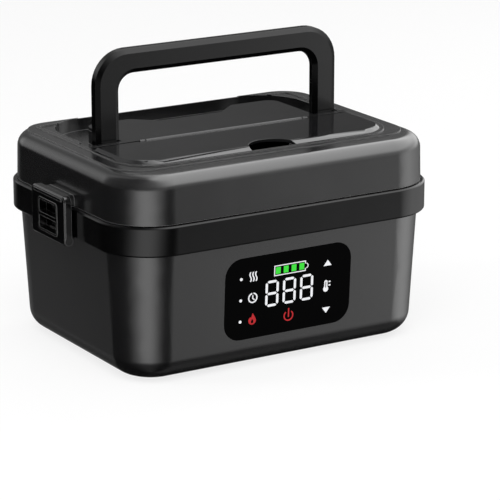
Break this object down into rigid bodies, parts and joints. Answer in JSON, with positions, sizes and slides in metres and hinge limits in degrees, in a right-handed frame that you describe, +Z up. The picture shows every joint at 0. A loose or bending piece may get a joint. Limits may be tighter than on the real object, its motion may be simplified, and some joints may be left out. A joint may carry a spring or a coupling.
{
  "type": "electric lunch box",
  "caption": "Portable heated lunch box with a touch display, lift-off lid held by side clips, fold-down handle and a cutlery compartment in the lid.",
  "frame": {"origin": "bottom centre, on the surface that the feet stand on", "axes": "+Z up, X along the long side, -Y out of the display"},
  "size_m": [0.255, 0.183, 0.1994],
  "materials": {
    "charcoal_shell": "semi gloss, fine grain",
    "base_plastic": "satin",
    "foot_rubber": "matte",
    "screw_steel": "zinc plated",
    "black_plastic": "gloss",
    "tub_metal": "dark coated",
    "plate_metal": "satin",
    "element_ceramic": "matte",
    "shield_sheet": "matte",
    "jacket_felt": "matte",
    "cell_sleeve": "printed sleeve, plain",
    "board_green": "satin",
    "chip_black": "satin",
    "contact_metal": "polished",
    "window_black": "high gloss",
    "lit_white": "lit",
    "lit_green": "lit",
    "lit_red": "lit",
    "lead_rubber": "satin",
    "container_steel": "bright",
    "inner_lid_plastic": "translucent",
    "seal_silicone": "satin",
    "plug_silicone": "satin",
    "liner_plastic": "satin",
    "deck_gloss": "high gloss",
    "pin_steel": "polished"
  },
  "bodies": {
    "housing": {"lower_housing": "charcoal_shell", "base_cover": "base_plastic", "rubber_feet": "foot_rubber", "base_screws": "screw_steel", "collar_band": "black_plastic", "heated_tub": "tub_metal", "heating_plate": "plate_metal", "heating_elements": "element_ceramic", "heat_shield": "shield_sheet", "temperature_sensor": "screw_steel", "foam_jacket": "jacket_felt", "battery_cells": "cell_sleeve", "battery_holder": "chip_black", "control_board": "board_green", "board_parts": "chip_black", "power_socket": "black_plastic", "socket_contact": "contact_metal", "display_window": "window_black", "display_board": "board_green", "display_numerals": "lit_white", "battery_gauge": "lit_green", "mode_symbols": "lit_white", "heat_symbols": "lit_red", "mode_lamps": "lit_white", "internal_leads": "lead_rubber", "clip_pins": "pin_steel"},
    "lid": {"lid_shell": "charcoal_shell", "lid_liner": "liner_plastic", "lid_seal": "seal_silicone", "lid_screws": "screw_steel", "lid_deck": "deck_gloss", "cutlery_tray": "base_plastic", "handle_pins": "pin_steel", "cover_hinge_pin": "pin_steel"},
    "cover": {"cutlery_cover": "deck_gloss"},
    "handle": {"handle": "black_plastic"},
    "left_clip": {"left_clip": "black_plastic"},
    "right_clip": {"right_clip": "black_plastic"},
    "container": {"food_container": "container_steel"},
    "inner_lid": {"container_lid": "inner_lid_plastic", "container_seal": "seal_silicone", "vent_plug": "plug_silicone"}
  },
  "joints": [
    {"name": "lid_lift", "type": "slide", "parent": "housing", "child": "lid", "axis": [0, 0, 1], "range_m": [0, 0.2]},
    {"name": "container_lift", "type": "slide", "parent": "housing", "child": "container", "axis": [0, 0, 1], "range_m": [0, 0.1]},
    {"name": "inner_lid_lift", "type": "slide", "parent": "container", "child": "inner_lid", "axis": [0, 0, 1], "range_m": [0, 0.05]},
    {"name": "cover_hinge", "type": "hinge", "parent": "lid", "child": "cover", "pos_m": [0, -0.008, 0.1392], "axis": [-1, 0, 0], "range_deg": [0, 80]},
    {"name": "handle_fold", "type": "hinge", "parent": "lid", "child": "handle", "pos_m": [0, 0.003, 0.133], "axis": [-1, 0, 0], "range_deg": [0, 90]},
    {"name": "left_clip_turn", "type": "hinge", "parent": "housing", "child": "left_clip", "pos_m": [-0.124, 0, 0.085], "axis": [0, -1, 0], "range_deg": [0, 100]},
    {"name": "right_clip_turn", "type": "hinge", "parent": "housing", "child": "right_clip", "pos_m": [0.124, 0, 0.085], "axis": [0, 1, 0], "range_deg": [0, 100]}
  ],
  "couplings": [
    {"joint": "container_lift", "follows": "lid_lift", "ratio": 0.5},
    {"joint": "inner_lid_lift", "follows": "lid_lift", "ratio": 0.25}
  ]
}
